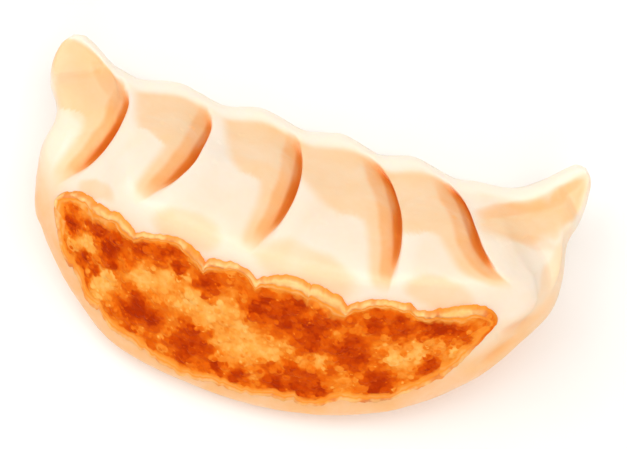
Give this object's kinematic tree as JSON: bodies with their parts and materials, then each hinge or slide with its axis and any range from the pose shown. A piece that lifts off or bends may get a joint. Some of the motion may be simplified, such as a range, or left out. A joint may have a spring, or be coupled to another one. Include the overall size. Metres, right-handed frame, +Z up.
{
  "type": "pan-fried dumpling",
  "caption": "Plump half-moon dumpling of pleated wheat dough with pinched ears and a flat browned, crisp-edged base, lying on its plain back",
  "frame": {"origin": "Centre of the bounding box at its lowest level, on the plate the dumpling lies on", "axes": "X runs along the dumpling from its left to its right ear, Y from the fried base and rounded fold towards the pinched seam, Z up"},
  "size_m": [0.0816, 0.0462, 0.0265],
  "materials": {
    "dough": "soft satin sheen"
  },
  "bodies": {
    "root": {"dumpling": "dough"}
  },
  "joints": []
}
